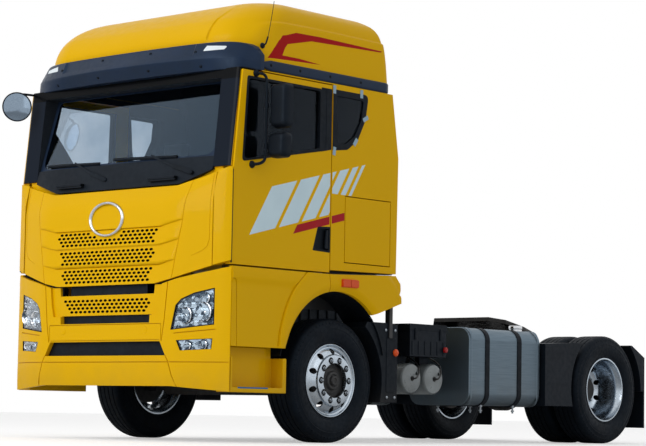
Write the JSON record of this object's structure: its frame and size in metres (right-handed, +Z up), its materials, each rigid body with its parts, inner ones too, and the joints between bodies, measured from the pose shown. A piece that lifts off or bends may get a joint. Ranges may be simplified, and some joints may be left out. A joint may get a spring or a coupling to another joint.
{
  "type": "semi truck tractor unit",
  "caption": "Two-axle semi truck tractor unit with a high-roof sleeper cab, tilting fifth wheel and steered front wheels.",
  "frame": {"origin": "on the ground under the middle of the vehicle's bounding box", "axes": "+Y towards the rear, +X towards the vehicle's left side, +Z up"},
  "size_m": [3.01, 6.1902, 3.566],
  "materials": {
    "body_paint": "gloss",
    "door_paint": "gloss",
    "dark_trim": "satin",
    "grille_plastic": "satin",
    "black_plastic": "matte",
    "frame_paint": "satin",
    "cast_metal": "matte",
    "spring_steel": "satin",
    "tank_aluminium": "brushed",
    "wheel_aluminium": "polished",
    "strap_steel": "satin",
    "air_tank_paint": "satin",
    "tyre_rubber": "matte",
    "window_glass": "clear",
    "lamp_lens": "clear",
    "amber_lens": "gloss",
    "red_lens": "gloss",
    "seat_fabric": "woven",
    "coupling_steel": "greased"
  },
  "bodies": {
    "chassis": {"frame_rails": "frame_paint", "crossmembers": "frame_paint", "tilt_brackets": "frame_paint", "engine_gearbox": "cast_metal", "prop_shaft": "frame_paint", "front_axle": "cast_metal", "front_springs": "spring_steel", "rear_springs": "spring_steel", "rear_axle": "cast_metal", "fuel_tanks": "tank_aluminium", "tank_mounts": "strap_steel", "air_tanks": "air_tank_paint", "battery_box": "black_plastic", "exhaust_box": "frame_paint", "radiator": "frame_paint", "steps": "body_paint", "arch_panels": "body_paint", "front_mudguards": "black_plastic", "rear_mudguards": "black_plastic", "fifth_wheel_base": "coupling_steel", "bumper_centre": "grille_plastic", "bumper_corners": "body_paint", "front_lamps": "lamp_lens", "tail_lamps": "red_lens", "marker_lamps": "amber_lens"},
    "cab": {"cab_shell": "body_paint", "windscreen": "window_glass", "quarter_windows": "window_glass", "cowl_panel": "black_plastic", "corner_panels": "body_paint", "roof": "body_paint", "sun_visor": "dark_trim", "side_strips": "dark_trim", "front_mirror": "black_plastic", "dashboard": "black_plastic", "seats_and_bunk": "seat_fabric"},
    "left_door": {"door_left": "door_paint", "glass_left": "window_glass", "mirror_left": "black_plastic"},
    "right_door": {"door_right": "door_paint", "glass_right": "window_glass", "mirror_right": "black_plastic"},
    "left_hatch": {"hatch_left": "body_paint"},
    "right_hatch": {"hatch_right": "body_paint"},
    "flap": {"front_flap": "body_paint"},
    "coupling_plate": {"fifth_wheel_plate": "coupling_steel"},
    "left_knuckle": {"knuckle_left": "cast_metal"},
    "right_knuckle": {"knuckle_right": "cast_metal"},
    "front_left_wheel": {"tyre_front_left": "tyre_rubber", "wheel_front_left": "wheel_aluminium"},
    "front_right_wheel": {"tyre_front_right": "tyre_rubber", "wheel_front_right": "wheel_aluminium"},
    "rear_left_wheels": {"tyres_rear_left": "tyre_rubber", "wheels_rear_left": "wheel_aluminium"},
    "rear_right_wheels": {"tyres_rear_right": "tyre_rubber", "wheels_rear_right": "wheel_aluminium"}
  },
  "joints": [
    {"name": "cab_tilt", "type": "hinge", "parent": "chassis", "child": "cab", "pos_m": [0, -2.91, 0.905], "axis": [1, 0, 0], "range_deg": [0, 50]},
    {"name": "left_door_swing", "type": "hinge", "parent": "cab", "child": "left_door", "pos_m": [1.238, -2.825, 2], "axis": [0, 0, -1], "range_deg": [0, 70]},
    {"name": "right_door_swing", "type": "hinge", "parent": "cab", "child": "right_door", "pos_m": [-1.238, -2.825, 2], "axis": [0, 0, 1], "range_deg": [0, 70]},
    {"name": "flap_lift", "type": "hinge", "parent": "cab", "child": "flap", "pos_m": [0, -2.87, 2.06], "axis": [-1, 0, 0], "range_deg": [0, 75]},
    {"name": "left_hatch_lift", "type": "hinge", "parent": "cab", "child": "left_hatch", "pos_m": [1.24, -1.245, 1.996], "axis": [0, -1, 0], "range_deg": [0, 80]},
    {"name": "right_hatch_lift", "type": "hinge", "parent": "cab", "child": "right_hatch", "pos_m": [-1.24, -1.245, 1.996], "axis": [0, 1, 0], "range_deg": [0, 80]},
    {"name": "left_steer", "type": "hinge", "parent": "chassis", "child": "left_knuckle", "pos_m": [0.9, -1.545, 0.505], "axis": [0, 0, 1], "range_deg": [-38, 38]},
    {"name": "right_steer", "type": "hinge", "parent": "chassis", "child": "right_knuckle", "pos_m": [-0.9, -1.545, 0.505], "axis": [0, 0, 1], "range_deg": [-38, 38]},
    {"name": "front_left_spin", "type": "hinge", "parent": "left_knuckle", "child": "front_left_wheel", "pos_m": [1.01, -1.545, 0.505], "axis": [1, 0, 0], "continuous": true},
    {"name": "front_right_spin", "type": "hinge", "parent": "right_knuckle", "child": "front_right_wheel", "pos_m": [-1.01, -1.545, 0.505], "axis": [1, 0, 0], "continuous": true},
    {"name": "rear_left_spin", "type": "hinge", "parent": "chassis", "child": "rear_left_wheels", "pos_m": [0.915, 2.255, 0.505], "axis": [1, 0, 0], "continuous": true},
    {"name": "rear_right_spin", "type": "hinge", "parent": "chassis", "child": "rear_right_wheels", "pos_m": [-0.915, 2.255, 0.505], "axis": [1, 0, 0], "continuous": true},
    {"name": "coupling_tilt", "type": "hinge", "parent": "chassis", "child": "coupling_plate", "pos_m": [0, 1.855, 1.017], "axis": [1, 0, 0], "range_deg": [0, 20]}
  ],
  "couplings": [
    {"joint": "right_steer", "follows": "left_steer", "ratio": 1}
  ]
}
